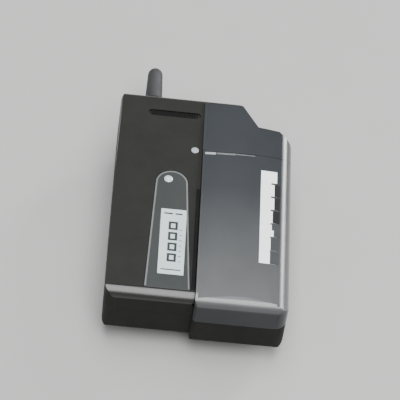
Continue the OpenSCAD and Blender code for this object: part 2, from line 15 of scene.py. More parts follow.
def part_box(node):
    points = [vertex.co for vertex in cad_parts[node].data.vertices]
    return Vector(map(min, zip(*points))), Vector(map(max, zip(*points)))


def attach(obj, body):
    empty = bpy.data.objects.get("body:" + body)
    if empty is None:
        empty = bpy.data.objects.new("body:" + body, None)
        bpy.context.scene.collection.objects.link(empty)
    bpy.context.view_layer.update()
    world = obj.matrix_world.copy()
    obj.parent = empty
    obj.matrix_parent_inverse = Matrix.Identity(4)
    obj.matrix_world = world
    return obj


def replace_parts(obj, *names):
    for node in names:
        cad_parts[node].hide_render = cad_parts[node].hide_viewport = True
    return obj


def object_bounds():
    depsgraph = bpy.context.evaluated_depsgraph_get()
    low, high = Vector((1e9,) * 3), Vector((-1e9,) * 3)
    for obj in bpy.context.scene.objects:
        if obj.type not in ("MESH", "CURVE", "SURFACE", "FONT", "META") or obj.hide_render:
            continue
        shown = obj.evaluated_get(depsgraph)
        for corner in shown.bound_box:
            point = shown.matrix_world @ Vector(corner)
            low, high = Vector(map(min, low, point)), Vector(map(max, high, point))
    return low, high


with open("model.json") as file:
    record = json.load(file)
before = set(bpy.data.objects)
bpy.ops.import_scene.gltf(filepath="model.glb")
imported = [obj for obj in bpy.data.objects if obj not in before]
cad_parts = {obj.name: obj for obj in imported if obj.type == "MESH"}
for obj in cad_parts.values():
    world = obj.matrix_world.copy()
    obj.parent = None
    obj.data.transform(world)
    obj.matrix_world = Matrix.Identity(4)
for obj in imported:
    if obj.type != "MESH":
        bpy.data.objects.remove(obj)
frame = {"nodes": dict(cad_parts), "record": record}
cad_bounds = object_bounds()
nodes = frame["nodes"]
slot_of = {s["node"]: s["material_slot"] for s in frame["record"]["subparts"]}
body_of = {n: b for b, members in frame["record"]["behaviour"]["bodies"].items() for n in members}

MM = 0.001
CORNER = Vector(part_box("rear_case")[0])


def at(u, v, w):
    """A point in millimetres as a point of the frame."""
    return CORNER + Vector((u, v, w)) * MM


def local(point):
    """A point of the frame as [u, v, w] in millimetres."""
    return (Vector(point) - CORNER) / MM


# ---------------------------------------------------------------- camera

# Where the camera is, as seen from the middle of the part, and how it is turned; its distance is in metres
VIEW_AZIMUTH = math.radians(-4.4)
VIEW_ELEVATION = math.radians(47.7)
VIEW_ROLL = math.radians(8.9)
VIEW_DISTANCE = 0.922
LENS_MM, SENSOR_MM = 208, 36
NEAREST, FARTHEST = 0.01, 20


def add_camera():
    low, high = Vector(cad_bounds[0]), Vector(cad_bounds[1])
    target = (low + high) / 2
    toward = Vector((
        math.sin(VIEW_AZIMUTH) * math.cos(VIEW_ELEVATION),
        -math.cos(VIEW_AZIMUTH) * math.cos(VIEW_ELEVATION),
        math.sin(VIEW_ELEVATION),
    ))
    data = bpy.data.cameras.new("camera")
    data.lens = LENS_MM
    data.sensor_width = SENSOR_MM
    data.clip_start, data.clip_end = NEAREST, FARTHEST
    camera = bpy.data.objects.new("camera", data)
    turn = toward.to_track_quat("Z", "Y").to_matrix().to_4x4()
    camera.matrix_world = (
        Matrix.Translation(target + toward * VIEW_DISTANCE) @ turn @ Matrix.Rotation(VIEW_ROLL, 4, "Z")
    )
    bpy.context.scene.collection.objects.link(camera)
    bpy.context.scene.camera = camera


add_camera()


# ---------------------------------------------------------------- materials

class Paint:
    """A procedural material: one Principled shader with its colour, roughness and bump from noises."""

    def __init__(self, name, roughness=0.5, **sockets):
        self.material = bpy.data.materials.new(name)
        self.material.use_nodes = True
        self.tree = self.material.node_tree
        self.shader = self.tree.nodes["Principled BSDF"]
        self.shader.inputs["Roughness"].default_value = roughness
        for socket, value in sockets.items():
            self.shader.inputs[socket.replace("_", " ")].default_value = value
        self.where = self.add("ShaderNodeTexCoord").outputs["Object"]
        self.bump = None

    def add(self, kind, **values):
        node = self.tree.nodes.new(kind)
        for key, value in values.items():
            setattr(node, key, value)
        return node

    def link(self, a, b):
        self.tree.links.new(a, b)

    def noise(self, size_mm, detail=3.0, rough=0.55, stretch=(1, 1, 1)):
        """Noise whose lumps are about size_mm across."""
        mapping = self.add("ShaderNodeMapping")
        mapping.inputs["Scale"].default_value = stretch
        self.link(self.where, mapping.inputs["Vector"])
        noise = self.add("ShaderNodeTexNoise")
        noise.inputs["Scale"].default_value = 1 / (size_mm * MM)
        noise.inputs["Detail"].default_value = detail
        noise.inputs["Roughness"].default_value = rough
        self.link(mapping.outputs["Vector"], noise.inputs["Vector"])
        return noise.outputs["Fac"]

    def ranged(self, value, low, high, start=0.3, end=0.7):
        """Takes start to low and end to high, and holds still outside them."""
        node = self.add("ShaderNodeMapRange")
        for socket, number in zip(("From Min", "From Max", "To Min", "To Max"), (start, end, low, high)):
            node.inputs[socket].default_value = number
        self.link(value, node.inputs["Value"])
        return node.outputs["Result"]

    def blend(self, value, a, b):
        """A colour between a and b; each is a colour or an output of another node.

        The mix node's inputs 6 and 7 and its output 2 are the ones for colours."""
        node = self.add("ShaderNodeMix", data_type="RGBA")
        self.link(value, node.inputs["Factor"])
        for socket, colour in ((node.inputs[6], a), (node.inputs[7], b)):
            if isinstance(colour, tuple):
                socket.default_value = (*colour, 1)
            else:
                self.link(colour, socket)
        return node.outputs[2]

    def mixed(self, value, a, b):
        """A number between a, another node's output, and b. Inputs 2 and 3 and output 0 are for numbers."""
        node = self.add("ShaderNodeMix", data_type="FLOAT")
        self.link(value, node.inputs["Factor"])
        self.link(a, node.inputs[2])
        node.inputs[3].default_value = b
        return node.outputs[0]

    def colour(self, output):
        self.link(output, self.shader.inputs["Base Color"])

    def roughness(self, output):
        self.link(output, self.shader.inputs["Roughness"])

    def relief(self, height, depth_mm, strength=1.0):
        node = self.add("ShaderNodeBump")
        node.inputs["Distance"].default_value = depth_mm * MM
        node.inputs["Strength"].default_value = strength
        self.link(height, node.inputs["Height"])
        if self.bump is not None:
            self.link(self.bump, node.inputs["Normal"])
        self.bump = node.outputs["Normal"]
        self.link(self.bump, self.shader.inputs["Normal"])

    def wear(self):
        """Strongest on the edges that soften() marks, broken up by noise."""
        edge = self.add("ShaderNodeAttribute", attribute_name="wear").outputs["Fac"]
        broken = self.ranged(self.noise(1.6, detail=5, rough=0.7), 0.1, 0.9, 0.48, 0.68)
        node = self.add("ShaderNodeMath", operation="MULTIPLY")
        self.link(edge, node.inputs[0])
        self.link(broken, node.inputs[1])
        return node.outputs["Value"]


# Sizes of the lumps of the noises for colour and for sheen
CLOUD_MM, SHEEN_MM = 14, 5
# Handled edges: how rough they are, and how rough the thin coat over them is
POLISHED, COAT_ROUGHNESS = 0.36, 0.3
# Where the painted light sets in: along the body, and only near the front face
PAINTED_LIGHT_V, PAINTED_LIGHT_W = (4, 60), (20.5, 23)


def moulded(name, dark, light, rough, grain_mm, grain_depth, wear_colour=None, faded=None, **sockets):
    """Moulded plastic: slight cloudiness, a fine grain, and worn edges where a colour is given for them.

    The second pair of colours, which the piece takes on towards its low end near its front face, is painted
    light: a painted sheen on the cover."""
    paint = Paint(name, **sockets)
    cloud = paint.ranged(paint.noise(CLOUD_MM, detail=4), 0, 1)
    base = paint.blend(cloud, dark, light)
    # Painted light: towards the low end and near the front face the colour turns to the second pair of
    # colours
    if faded:
        axis = paint.add("ShaderNodeSeparateXYZ")
        paint.link(paint.where, axis.inputs[0])
        along = paint.ranged(axis.outputs["Y"], 1, 0, *(at(0, v, 0).y for v in PAINTED_LIGHT_V))
        high = paint.ranged(axis.outputs["Z"], 0, 1, *(at(0, 0, w).z for w in PAINTED_LIGHT_W))
        both = paint.add("ShaderNodeMath", operation="MULTIPLY")
        paint.link(along, both.inputs[0])
        paint.link(high, both.inputs[1])
        base = paint.blend(both.outputs["Value"], base, paint.blend(cloud, *faded))
    roughness = paint.ranged(paint.noise(SHEEN_MM, detail=5, rough=0.65), *rough)
    if wear_colour:
        base = paint.blend(paint.wear(), base, wear_colour)
        handled = paint.add("ShaderNodeAttribute", attribute_name="polish").outputs["Fac"]
        roughness = paint.mixed(handled, roughness, POLISHED)
        paint.link(handled, paint.shader.inputs["Coat Weight"])
        paint.shader.inputs["Coat Roughness"].default_value = COAT_ROUGHNESS
    paint.colour(base)
    paint.roughness(roughness)
    paint.relief(paint.noise(grain_mm, detail=2), grain_depth)
    return paint


def metal(name, dark, light, rough, stretch=(1, 1, 1), grain_mm=0.4, grain_depth=0.003, **sockets):
    """Plated or drawn metal with fine marks along one way."""
    paint = Paint(name, Metallic=1.0, **sockets)
    marks = paint.noise(grain_mm, detail=4, rough=0.7, stretch=stretch)
    paint.colour(paint.blend(paint.ranged(marks, 0, 1), dark, light))
    paint.roughness(paint.ranged(paint.noise(2.5, detail=4), *rough))
    paint.relief(marks, grain_depth)
    return paint


RUN_SCALE, RUN_WIDTH = 240, 0.018


def board_paint():
    """Solder mask with faint copper runs under it."""
    paint = Paint("board_green", 0.3, Coat_Weight=0.3)
    grid = paint.add("ShaderNodeTexBrick")
    grid.inputs["Scale"].default_value = RUN_SCALE
    grid.inputs["Mortar Size"].default_value = RUN_WIDTH
    paint.link(paint.where, grid.inputs["Vector"])
    paint.colour(paint.blend(grid.outputs["Fac"], (0.012, 0.12, 0.055), (0.04, 0.24, 0.11)))
    paint.relief(grid.outputs["Fac"], 0.03, 0.5)
    return paint


# The sleeve's colours from the flat end to the nub, each with the share of the length where it starts
SLEEVE_BANDS = (
    (0, (0.55, 0.55, 0.55)),
    (0.02, (0.015, 0.045, 0.08)),
    (0.18, (0.5, 0.52, 0.53)),
    (0.2, (0.02, 0.07, 0.12)),
    (0.74, (0.5, 0.52, 0.53)),
    (0.955, (0.55, 0.55, 0.55)),
)
SCUFF_GREY = (0.35, 0.35, 0.36)


def cell_paint(name, turned):
    """A cell's printed sleeve: pale rings, a pale end by the nub, bare metal at both ends."""
    paint = Paint(name, 0.3)
    low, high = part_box("cell_left")
    axis = paint.add("ShaderNodeSeparateXYZ")
    paint.link(paint.where, axis.inputs[0])
    along = paint.ranged(axis.outputs["Y"], *((1, 0) if turned else (0, 1)), low.y, high.y)
    ramp = paint.add("ShaderNodeValToRGB")
    ramp.color_ramp.interpolation = "CONSTANT"
    for number, (place, colour) in enumerate(SLEEVE_BANDS):
        stop = ramp.color_ramp.elements[number] if number < 2 else ramp.color_ramp.elements.new(place)
        stop.position = place
        stop.color = (*colour, 1)
    paint.link(along, ramp.inputs["Fac"])
    scuffs = paint.ranged(paint.noise(0.8, detail=6, rough=0.7, stretch=(1, 0.2, 1)), 0, 0.35, 0.55, 0.75)
    paint.colour(paint.blend(scuffs, ramp.outputs["Color"], SCUFF_GREY))
    paint.roughness(paint.ranged(paint.noise(3), 0.285, 0.4))
    return paint


MOULDED = {
    "case_plastic": dict(
        dark=(0.0095, 0.0095, 0.0078), light=(0.0125, 0.0125, 0.0103), rough=(0.6, 0.72),
        grain_mm=0.16, grain_depth=0.03, wear_colour=(0.09, 0.09, 0.08), Specular_IOR_Level=0.2),
    "panel_plastic": dict(
        dark=(0.02, 0.02, 0.02), light=(0.03, 0.03, 0.03), rough=(0.5, 0.65),
        grain_mm=0.16, grain_depth=0.03, wear_colour=(0.07, 0.07, 0.07)),
    # The cover's second pair of colours is a painted sheen, much lighter towards its low end
    "cover_plastic": dict(
        dark=(0.011, 0.0135, 0.016), light=(0.014, 0.017, 0.02), rough=(0.285, 0.35),
        grain_mm=0.3, grain_depth=0.004, wear_colour=(0.2, 0.2, 0.2),
        faded=((0.066, 0.068, 0.069), (0.078, 0.08, 0.081)), Specular_IOR_Level=0.45),
    # The inlay's second pair of colours is painted light, slightly darker towards its low end
    "inlay_gloss": dict(
        dark=(0.023, 0.026, 0.0245), light=(0.029, 0.032, 0.0305), rough=(0.285, 0.34),
        grain_mm=0.8, grain_depth=0.001,
        faded=((0.021, 0.025, 0.0235), (0.026, 0.03, 0.0285)), Specular_IOR_Level=0.25),
    "label_film": dict(
        dark=(0.46, 0.53, 0.53), light=(0.54, 0.61, 0.605), rough=(0.3, 0.45),
        grain_mm=0.3, grain_depth=0.004),
    "lens": dict(
        dark=(0.72, 0.76, 0.72), light=(0.82, 0.85, 0.8), rough=(0.08, 0.16),
        grain_mm=0.6, grain_depth=0.003, Transmission_Weight=0.25, Subsurface_Weight=0.15),
    "frosted_lens": dict(
        dark=(0.3, 0.325, 0.32), light=(0.38, 0.405, 0.4), rough=(0.29, 0.38),
        grain_mm=0.4, grain_depth=0.003, Transmission_Weight=0.1, Subsurface_Weight=0.1),
    # A lighter grey copy of the black print below: painted sheen on the lower print steps of the cover
    "print_painted_sheen": dict(
        dark=(0.036, 0.038, 0.04), light=(0.046, 0.048, 0.05), rough=(0.5, 0.62),
        grain_mm=0.2, grain_depth=0.002, Specular_IOR_Level=0.18),
    "print_black": dict(
        dark=(0.008, 0.0085, 0.009), light=(0.012, 0.0125, 0.013), rough=(0.5, 0.62),
        grain_mm=0.2, grain_depth=0.002, Specular_IOR_Level=0.18),
    "mark_white": dict(
        dark=(0.92, 0.94, 0.95), light=(0.96, 0.97, 0.98), rough=(0.32, 0.45),
        grain_mm=0.2, grain_depth=0.006),
    "rear_label_film": dict(
        dark=(0.36, 0.37, 0.37), light=(0.45, 0.46, 0.46), rough=(0.35, 0.5),
        grain_mm=0.25, grain_depth=0.005),
    "antenna_rubber": dict(
        dark=(0.022, 0.022, 0.024), light=(0.035, 0.035, 0.036), rough=(0.6, 0.78),
        grain_mm=0.12, grain_depth=0.02),
    "button_plastic": dict(
        dark=(0.09, 0.09, 0.095), light=(0.12, 0.12, 0.125), rough=(0.45, 0.6),
        grain_mm=0.12, grain_depth=0.02, wear_colour=(0.2, 0.2, 0.2)),
    "pair_red": dict(
        dark=(0.35, 0.02, 0.015), light=(0.45, 0.035, 0.025), rough=(0.35, 0.5),
        grain_mm=0.15, grain_depth=0.01),
    "trim_white": dict(
        dark=(0.62, 0.6, 0.54), light=(0.72, 0.7, 0.64), rough=(0.4, 0.55),
        grain_mm=0.15, grain_depth=0.01),
    "trim_blue": dict(
        dark=(0.02, 0.06, 0.28), light=(0.03, 0.09, 0.36), rough=(0.35, 0.5),
        grain_mm=0.15, grain_depth=0.01),
    "display_window": dict(
        dark=(0.05, 0.004, 0.004), light=(0.07, 0.006, 0.006), rough=(0.08, 0.16),
        grain_mm=0.5, grain_depth=0.002, Coat_Weight=0.5),
    "black_nylon": dict(
        dark=(0.017, 0.017, 0.017), light=(0.03, 0.03, 0.03), rough=(0.42, 0.6),
        grain_mm=0.14, grain_depth=0.02, wear_colour=(0.07, 0.07, 0.07)),
    # Near-black: black rubber in the recess near the top end, and painted shadow in the step beside the inlay
    "black_rubber_and_painted_shadow": dict(
        dark=(0.003, 0.003, 0.003), light=(0.005, 0.005, 0.005), rough=(0.6, 0.75),
        grain_mm=0.15, grain_depth=0.01, Specular_IOR_Level=0.15),
    # Bright grey for the painted glint on the cover's seam beside the status light
    "painted_glint_grey": dict(
        dark=(0.27, 0.28, 0.28), light=(0.33, 0.34, 0.34), rough=(0.3, 0.38),
        grain_mm=0.3, grain_depth=0.003),
    # Pale grey for painted highlights: the band round the inlay and the lip along the cover's seam
    "painted_highlight_grey": dict(
        dark=(0.095, 0.1, 0.1), light=(0.13, 0.137, 0.137), rough=(0.29, 0.38),
        grain_mm=0.3, grain_depth=0.003),
    "ink_dark": dict(
        dark=(0.022, 0.028, 0.032), light=(0.035, 0.042, 0.046), rough=(0.45, 0.6),
        grain_mm=0.2, grain_depth=0.002, Specular_IOR_Level=0.2),
    "chip_black": dict(
        dark=(0.012, 0.012, 0.012), light=(0.022, 0.022, 0.022), rough=(0.5, 0.65),
        grain_mm=0.1, grain_depth=0.01),
    "led_resin": dict(
        dark=(0.65, 0.66, 0.5), light=(0.75, 0.75, 0.6), rough=(0.1, 0.2),
        grain_mm=0.4, grain_depth=0.003, Transmission_Weight=0.3),
    "led_red": dict(
        dark=(0.16, 0.012, 0.01), light=(0.22, 0.018, 0.014), rough=(0.3, 0.4),
        grain_mm=0.3, grain_depth=0.001),
}
METALS = {
    "steel": dict(
        dark=(0.42, 0.42, 0.42), light=(0.62, 0.62, 0.61), rough=(0.3, 0.42),
        stretch=(0.06, 1, 1), grain_mm=0.3),
    "nickel": dict(dark=(0.5, 0.49, 0.46), light=(0.66, 0.65, 0.61), rough=(0.16, 0.26)),
    "gold": dict(dark=(0.62, 0.43, 0.14), light=(0.8, 0.6, 0.25), rough=(0.18, 0.26)),
    "clip_wire": dict(
        dark=(0.09, 0.09, 0.09), light=(0.2, 0.2, 0.2), rough=(0.3, 0.45),
        stretch=(1, 0.1, 1), grain_depth=0.001),
}
PAINTS = {name: moulded(name, **look) for name, look in MOULDED.items()}
PAINTS.update({name: metal(name, **look) for name, look in METALS.items()})
PAINTS["board_green"] = board_paint()
PAINTS["cell_can"] = cell_paint("cell_can", False)
PAINTS["cell_can_turned"] = cell_paint("cell_can_turned", True)


def paint(piece, slot):
    piece.data.materials.clear()
    piece.data.materials.append(PAINTS[slot].material)


for name, node in nodes.items():
    slots = node.material_slots
    if slots:
        slots[0].material = PAINTS[slot_of[name]].material
    else:
        node.data.materials.append(PAINTS[slot_of[name]].material)


# ---------------------------------------------------------------- mesh helpers

def add_piece(name, mesh, slot, body):
    piece = bpy.data.objects.new(name, mesh)
    bpy.context.scene.collection.objects.link(piece)
    paint(piece, slot)
    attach(piece, body)
    return piece


def finish_mesh(bm, name, angle=40):
    """Turns bm into a mesh that is smooth but for its edges sharper than angle degrees."""
    bmesh.ops.recalc_face_normals(bm, faces=bm.faces)
    mesh = bpy.data.meshes.new(name)
    bm.to_mesh(mesh)
    bm.free()
    for polygon in mesh.polygons:
        polygon.use_smooth = True
    mesh.set_sharp_from_angle(angle=math.radians(angle))
    return mesh


# What counts as a handled edge: not square to the body within this angle, facing up by this much, and small
SQUARE_WITHIN = math.radians(9)
FACING_UP = 0.2
LARGEST_ROUNDING = 90 * MM * MM
# Points this near each other and faces this near one plane come from the CAD's triangles, and are merged
SAME_POINT, SAME_PLANE = 2e-6, math.radians(0.6)


def soften(node, name, width_mm, segments=3, least_angle=24, wide=None):
    """A detailed copy of a CAD node with its sharp edges rounded and marked for wear.

    wide is (chosen, width_mm): the edges that chosen(u, v, w) picks get a rounding of their own first."""
    bm = bmesh.new()
    bm.from_mesh(nodes[node].data)
    bmesh.ops.remove_doubles(bm, verts=bm.verts, dist=SAME_POINT)
    bmesh.ops.dissolve_limit(bm, angle_limit=SAME_PLANE, verts=bm.verts, edges=bm.edges)
    wear = bm.faces.layers.float.new("wear")

    def sharp_edges():
        return [e for e in bm.edges if e.is_manifold and e.calc_face_angle(0) > math.radians(least_angle)]

    def round_off(edges, offset_mm, count, profile):
        made = bmesh.ops.bevel(bm, geom=edges, offset=offset_mm * MM, offset_type="OFFSET", segments=count,
                               profile=profile, affect="EDGES", clamp_overlap=True)
        for face in made["faces"]:
            face[wear] = 1.0

    if wide:
        chosen, wide_mm = wide
        picked = [e for e in sharp_edges() if all(chosen(*local(vertex.co)) for vertex in e.verts)]
        round_off(picked, wide_mm, count=6, profile=0.5)
    round_off(sharp_edges(), width_mm, count=segments, profile=0.6)
    polish = bm.faces.layers.float.new("polish")
    bm.normal_update()
    for face in bm.faces:
        square = max(abs(part) for part in face.normal) > math.cos(SQUARE_WITHIN)
        if not square and face.normal.z > FACING_UP and face.calc_area() < LARGEST_ROUNDING:
            face[polish] = 1.0
    piece = add_piece(name, finish_mesh(bm, name), slot_of[node], body_of[node])
    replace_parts(piece, node)
    modifier = piece.modifiers.new("weighted_normals", "WEIGHTED_NORMAL")
    modifier.keep_sharp = True
    return piece


def lathe(name, profile, start, axis, slot, body, steps=96):
    """Turns a profile of [radius, distance from start] in millimetres about an axis from start."""
    bm = bmesh.new()
    rings = []
    turn = Vector(axis).to_track_quat("Z", "Y").to_matrix()
    for radius, along in profile:
        ring = []
        for step in range(1 if radius == 0 else steps):
            angle = 2 * math.pi * step / steps
            spot = turn @ Vector((radius * math.cos(angle), radius * math.sin(angle), along)) * MM
            ring.append(bm.verts.new(start + spot))
        rings.append(ring)
    for low, high in zip(rings, rings[1:]):
        for step in range(steps):
            after = (step + 1) % steps
            corners = [ring[number % len(ring)]
                       for ring, number in ((low, step), (low, after), (high, after), (high, step))]
            unique = [c for i, c in enumerate(corners) if c not in corners[:i]]
            if len(unique) > 2:
                bm.faces.new(unique)
    return add_piece(name, finish_mesh(bm, name), slot, body)


# ---------------------------------------------------------------- shells

# The sloping left face as two (v, w) points, the u where the two halves of the front meet, and the v of the
# cover's upper edge
LEFT_FACE = ((3, 22.2), (107, 24.3))
HALF_U = 34
COVER_TOP_V = 78
# The arched right face: its radius, and the u and w of its crown
CROWN_RADIUS, CROWN_U, CROWN_W = 180, 51, 25
# The front case has the cover's finish past this u, v and w
COVER_FINISH_FROM = (HALF_U + 0.05, COVER_TOP_V, 14)
# The cover's edge below this v and above this w has a wide rounding
LOW_EDGE_V, LOW_EDGE_W, LOW_EDGE_ROUNDING = 3.6, 21, 1.4


def face_w(u, v):
    """Height of the sloping left face at v."""
    (v0, w0), (v1, w1) = LEFT_FACE
    return w0 + (v - v0) * (w1 - w0) / (v1 - v0)


def crown_w(u, v):
    """Height of the arched right face at u."""
    return CROWN_W - CROWN_RADIUS + math.sqrt(CROWN_RADIUS ** 2 - (u - CROWN_U) ** 2)


def second_finish(piece, slot, chosen):
    """Gives the faces that chosen(u, v, w) picks another finish, as a second colour of moulding."""
    piece.data.materials.append(PAINTS[slot].material)
    for polygon in piece.data.polygons:
        if chosen(*local(polygon.center)):
            polygon.material_index = 1


front = soften("front_case", "front_shell", 0.3)
second_finish(front, "cover_plastic", lambda *place: all(a > b for a, b in zip(place, COVER_FINISH_FROM)))
soften("rear_case", "rear_shell", 0.3)
soften("battery_cover", "cover_shell", 0.4, segments=4,
       wide=(lambda u, v, w: v < LOW_EDGE_V and w > LOW_EDGE_W, LOW_EDGE_ROUNDING))
soften("top_panel", "top_panel_plate", 0.2)
soften("power_button", "power_key", 0.35)
soften("clip_bracket", "bracket_plate", 0.15)
soften("rear_label", "rear_label_plate", 0.05, segments=1)
soften("battery_tray", "tray_moulding", 0.15, segments=2)
soften("inlay_plate", "inlay_window", 0.12, segments=2)


# ---------------------------------------------------------------- strips laid on a face

def strip_path(points, width, low, high, name, slot, body):
    """A flat band of the given width that follows [u, v] points, from low to high above the left face."""
    bm = bmesh.new()
    rows = []
    for i, (u, v) in enumerate(points):
        before, after = points[max(i - 1, 0)], points[min(i + 1, len(points) - 1)]
        way = Vector((after[0] - before[0], after[1] - before[1])).normalized()
        side = Vector((-way.y, way.x)) * width / 2
        rows.append([bm.verts.new(at(u + k * side.x, v + k * side.y, face_w(u, v + k * side.y) + h))
                     for k, h in ((-1, low), (-0.75, high), (0.75, high), (1, low))])
    for a, b in zip(rows, rows[1:]):
        for k in range(4):
            bm.faces.new((a[k], a[(k + 1) % 4], b[(k + 1) % 4], b[k]))
    bm.faces.new(rows[0])
    bm.faces.new(rows[-1][::-1])
    return add_piece(name, finish_mesh(bm, name), slot, body)


# The inlay's outline: its lower and upper v, and the u of its two sides at each
ARCH_V, ARCH_LOW_U, ARCH_HIGH_U = (7, 60), (14.5, 32), (16.2, 29)
SIDE_STEPS, TOP_STEPS = 6, 20


def arch_points(inset):
    """The inlay's outline moved in by inset: up one side, over the round top and down the other."""
    low_v, high_v = ARCH_V[0] + inset, ARCH_V[1]
    left_low, right_low = ARCH_LOW_U[0] + inset, ARCH_LOW_U[1] - inset
    left_high, right_high = ARCH_HIGH_U[0] + inset, ARCH_HIGH_U[1] - inset
    middle, radius = (left_high + right_high) / 2, (right_high - left_high) / 2
    turns = [math.pi * i / TOP_STEPS for i in range(TOP_STEPS + 1)]
    top = [(middle - radius * math.cos(turn), high_v + radius * math.sin(turn)) for turn in turns]
    parts = [i / SIDE_STEPS for i in range(SIDE_STEPS + 1)]
    up = [(left_low + (left_high - left_low) * part, low_v + (high_v - low_v) * part) for part in parts[:-1]]
    down = [(right_high + (right_low - right_high) * part, high_v + (low_v - high_v) * part)
            for part in parts[1:]]
    return up + top + down


def flat_bars(name, bars, slot, body, thick, height=face_w, bevel=0.08):
    """Thin chamfered bars, each ((u0, v0), (u1, v1)), on a face whose height at u, v is given."""
    bm = bmesh.new()
    for (u0, v0), (u1, v1) in bars:
        rings = []
        for inset, up in ((0, 0.0), (0, thick * 0.6), (bevel, thick)):
            rings.append([bm.verts.new(at(u, v, height(u, v) + up)) for u, v in (
                (u0 + inset, v0 + inset), (u1 - inset, v0 + inset),
                (u1 - inset, v1 - inset), (u0 + inset, v1 - inset))])
        for a, b in zip(rings, rings[1:]):
            for k in range(4):
                bm.faces.new((a[k], a[(k + 1) % 4], b[(k + 1) % 4], b[k]))
        bm.faces.new(rings[0][::-1])
        bm.faces.new(rings[-1])
    return add_piece(name, finish_mesh(bm, name, angle=20), slot, body)


def bar_about(u, v, half_u, half_v):
    """A bar for flat_bars(), about its middle."""
    return (u - half_u, v - half_v), (u + half_u, v + half_v)


# A pale grey band round the inlay's outline: painted highlight along the inlay's edge
RIM_INSET, RIM_WIDTH, RIM_LOW, RIM_HIGH = 0.45, 0.75, -0.05, 0.1
strip_path(arch_points(RIM_INSET), RIM_WIDTH, RIM_LOW, RIM_HIGH, "inlay_rim_painted_highlight", "painted_highlight_grey", "case")

# Generic marks on the pale field: a column of small square frames with ticks at their right, a thin rule
# under them and two short ones over them
LABEL_U, LABEL_V = (19.2, 29.2), (14, 46.5)
LABEL_MID = (LABEL_U[0] + LABEL_U[1]) / 2
LEVELS, LEVEL_PITCH, LEVEL_V = 4, 5.3, LABEL_V[0] + 6.2
FRAME_HALF, FRAME_TALL, FRAME_LINE = 1.8, 4.1, 0.95
TICK_U, TICK_LINE = (2.6, 3.6), 0.3
RULE_INSET = 1.2


def level_frame(number):
    """The four bars of one square frame."""
    u0, u1, v0 = LABEL_MID - FRAME_HALF, LABEL_MID + FRAME_HALF, LEVEL_V + LEVEL_PITCH * number
    v1, line = v0 + FRAME_TALL, FRAME_LINE
    return [((u0, v0), (u1, v0 + line)), ((u0, v1 - line), (u1, v1)),
            ((u0, v0 + line), (u0 + line, v1 - line)), ((u1 - line, v0 + line), (u1, v1 - line))]


def level_tick(number):
    """A tick at the lower edge of a frame, or halfway to the next one."""
    v = LEVEL_V + LEVEL_PITCH * number / 2
    return (LABEL_MID + TICK_U[0], v), (LABEL_MID + TICK_U[1], v + TICK_LINE)


frame_bars = [bar for number in range(LEVELS) for bar in level_frame(number)]
ticks = [level_tick(number) for number in range(2 * LEVELS - 1)]
rules = [((LABEL_U[0] + RULE_INSET, LABEL_V[0] + 2.0), (LABEL_U[1] - RULE_INSET, LABEL_V[0] + 2.5)),
         ((LABEL_U[0] + RULE_INSET, LABEL_V[1] - 2.6), (LABEL_MID - 0.4, LABEL_V[1] - 1.9)),
         ((LABEL_MID + 0.6, LABEL_V[1] - 2.6), (LABEL_U[1] - 1.6, LABEL_V[1] - 1.9))]
flat_bars("label_marks", frame_bars + ticks + rules, "ink_dark", "case", thick=0.03, bevel=0.01)

# White film that bridges the gaps between the bars of the white mark on the cover
MARK_U, MARK_V, MARK_COUNT, MARK_PITCH, MARK_GAP = 57.6, 22, 7, 7, 0.9
LINK_WIDTH = 4.1
flat_bars("mark_links",
          [((MARK_U, MARK_V + MARK_PITCH * k - MARK_GAP), (MARK_U + LINK_WIDTH, MARK_V + MARK_PITCH * k))
           for k in range(1, MARK_COUNT)],
          "mark_white", "cover", thick=0.04, height=crown_w, bevel=0.01)

# Pale painted highlight along the cover's upper edge, with a brighter painted glint beside the status light.
# Each bar is two corners, given as how far they are past the line between the halves and below the cover's
# upper edge
SEAM_GLINT = ((0.9, 1.6), (5.2, 0.45))
SEAM_HIGHLIGHT = (((5.5, 1.3), (13.0, 0.45)), ((13.3, 0.95), (21, 0.5)))


def seam_bar(start, end):
    return (HALF_U + start[0], COVER_TOP_V - start[1]), (HALF_U + end[0], COVER_TOP_V - end[1])


flat_bars("seam_painted_glint", [seam_bar(*SEAM_GLINT)], "painted_glint_grey", "cover", thick=0.15, height=crown_w, bevel=0.12)
flat_bars("seam_painted_highlight", [seam_bar(*bar) for bar in SEAM_HIGHLIGHT], "painted_highlight_grey", "cover", thick=0.12,
          height=crown_w, bevel=0.1)

# Dark printed steps along the white mark's right edge, one per bar of the mark but the top one. Each starts
# at its own u, and the third starts farther right in its lower half
STEP_START_U, STEP_END_U = (61.8, 61.95, 62.3, 62.55, 63.05, 63.05), 65.3
NOTCHED, NOTCH_START_U, NOTCH_TALL = 2, 63.1, 3.15
# The lower steps take a lighter grey copy of the black print: painted sheen, lighter towards the cover's low
# end
PAINTED_SHEEN_STEPS = 3


def step_bar(number, start_u, low=0, high=MARK_PITCH - MARK_GAP):
    """A bar beside a bar of the mark, from low to high above that bar's lower edge."""
    v = MARK_V + MARK_PITCH * number
    return (start_u, v + low), (STEP_END_U, v + high)


steps = [step_bar(number, start_u) for number, start_u in enumerate(STEP_START_U)]
steps[NOTCHED] = step_bar(NOTCHED, STEP_START_U[NOTCHED], low=NOTCH_TALL)
notch = step_bar(NOTCHED, NOTCH_START_U, high=NOTCH_TALL)
flat_bars("mark_steps_painted_sheen", steps[:PAINTED_SHEEN_STEPS] + [notch], "print_painted_sheen", "cover", thick=0.06,
          height=crown_w, bevel=0.05)
flat_bars("mark_steps_high", steps[PAINTED_SHEEN_STEPS:], "print_black", "cover", thick=0.06,
          height=crown_w, bevel=0.05)

# Near-black strip in the step between the halves, beside the inlay: painted shadow in the step
STEP_SHADOW_LOW, STEP_SHADOW_HIGH = (32.5, 7.5), (33.95, 58)
flat_bars("step_painted_shadow", [(STEP_SHADOW_LOW, STEP_SHADOW_HIGH)], "black_rubber_and_painted_shadow", "case", thick=0.25, bevel=0.2)

